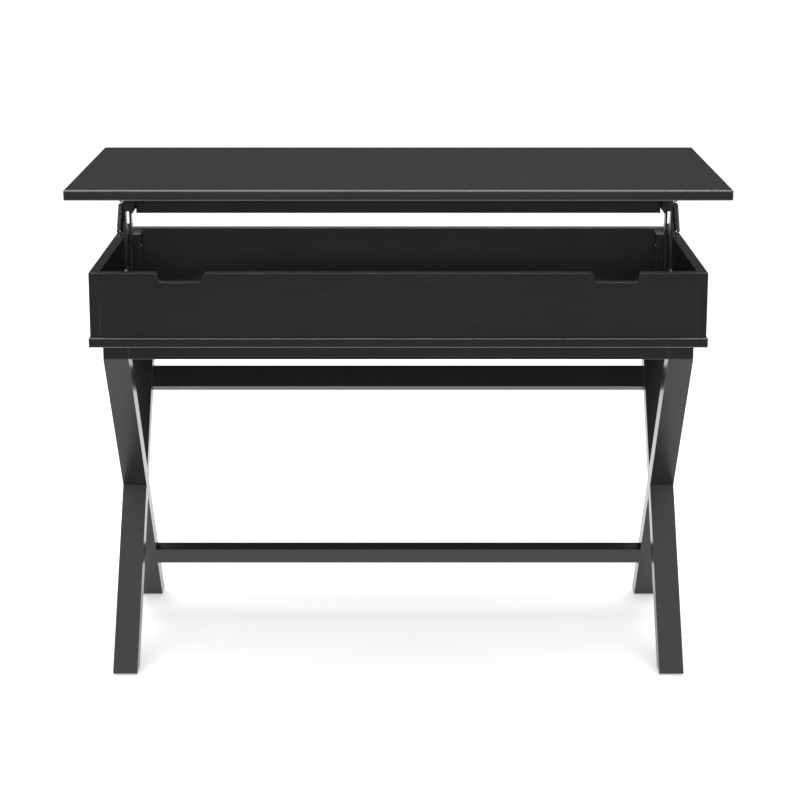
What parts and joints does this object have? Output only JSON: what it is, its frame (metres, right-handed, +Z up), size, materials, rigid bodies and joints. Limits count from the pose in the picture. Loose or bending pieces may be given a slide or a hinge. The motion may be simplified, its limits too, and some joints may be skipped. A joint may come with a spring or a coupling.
{
  "type": "lift-top writing desk",
  "caption": "Writing desk with an open storage case on crossed legs; its flat top lifts up and forward, staying level, on spring-assisted parallel arms.",
  "frame": {"origin": "centre of the footprint, on the floor, with the top raised", "axes": "+X to the right along the desk's width, +Y from the user's side to the back, +Z up"},
  "size_m": [1.118, 0.7, 0.937],
  "materials": {
    "black_lacquer": "semi-gloss black lacquer over wood",
    "black_steel": "satin black powder coat over pressed steel",
    "zinc_steel": "bright zinc plated",
    "spring_steel": "oiled black spring steel, close wound",
    "nylon": "moulded black nylon"
  },
  "bodies": {
    "root": {"case_front_panel": "black_lacquer", "case_back_panel": "black_lacquer", "case_left_side": "black_lacquer", "case_right_side": "black_lacquer", "case_bottom_board": "black_lacquer", "left_front_block": "black_lacquer", "left_rear_block": "black_lacquer", "right_front_block": "black_lacquer", "right_rear_block": "black_lacquer", "front_apron": "black_lacquer", "rear_apron": "black_lacquer", "left_side_rail": "black_lacquer", "right_side_rail": "black_lacquer", "left_leg_rising": "black_lacquer", "left_leg_falling": "black_lacquer", "right_leg_rising": "black_lacquer", "right_leg_falling": "black_lacquer", "upper_stretcher": "black_lacquer", "lower_stretcher": "black_lacquer", "left_front_glide": "nylon", "left_rear_glide": "nylon", "right_front_glide": "nylon", "right_rear_glide": "nylon", "left_upper_stretcher_bolt": "black_steel", "left_lower_stretcher_bolt": "black_steel", "right_upper_stretcher_bolt": "black_steel", "right_lower_stretcher_bolt": "black_steel", "left_base_bracket": "black_steel", "right_base_bracket": "black_steel", "left_front_lower_pin": "zinc_steel", "left_rear_lower_pin": "zinc_steel", "right_front_lower_pin": "zinc_steel", "right_rear_lower_pin": "zinc_steel", "left_stop_pin": "zinc_steel", "right_stop_pin": "zinc_steel"},
    "front_arms": {"left_front_arm": "black_steel", "right_front_arm": "black_steel", "left_spring_arm_stud": "black_steel", "right_spring_arm_stud": "black_steel", "left_spring": "spring_steel", "right_spring": "spring_steel"},
    "rear_arms": {"left_rear_arm": "black_steel", "right_rear_arm": "black_steel"},
    "lift_top": {"lift_top_panel": "black_lacquer", "cross_batten": "black_lacquer", "left_cleat": "black_lacquer", "right_cleat": "black_lacquer", "left_top_bracket": "black_steel", "right_top_bracket": "black_steel", "left_front_upper_pin": "zinc_steel", "left_rear_upper_pin": "zinc_steel", "right_front_upper_pin": "zinc_steel", "right_rear_upper_pin": "zinc_steel", "left_spring_top_stud": "black_steel", "right_spring_top_stud": "black_steel"}
  },
  "joints": [
    {"name": "lift_swing", "type": "hinge", "parent": "root", "child": "front_arms", "pos_m": [0, -0.04702, 0.719], "axis": [1, 0, 0], "range_deg": [-93.9, 0], "stiffness_Nm_per_rad": 5.3, "springref_deg": 17.19, "deforming": ["left_spring", "right_spring"]},
    {"name": "top_level", "type": "hinge", "parent": "front_arms", "child": "lift_top", "pos_m": [0, -0.05798, 0.87562], "axis": [1, 0, 0], "range_deg": [0, 94]},
    {"name": "rear_arm_swing", "type": "hinge", "parent": "root", "child": "rear_arms", "pos_m": [0, 0.03198, 0.693], "axis": [1, 0, 0], "range_deg": [-94, 0]}
  ],
  "couplings": [
    {"joint": "top_level", "follows": "lift_swing", "ratio": -1},
    {"joint": "rear_arm_swing", "follows": "lift_swing", "ratio": 1}
  ]
}
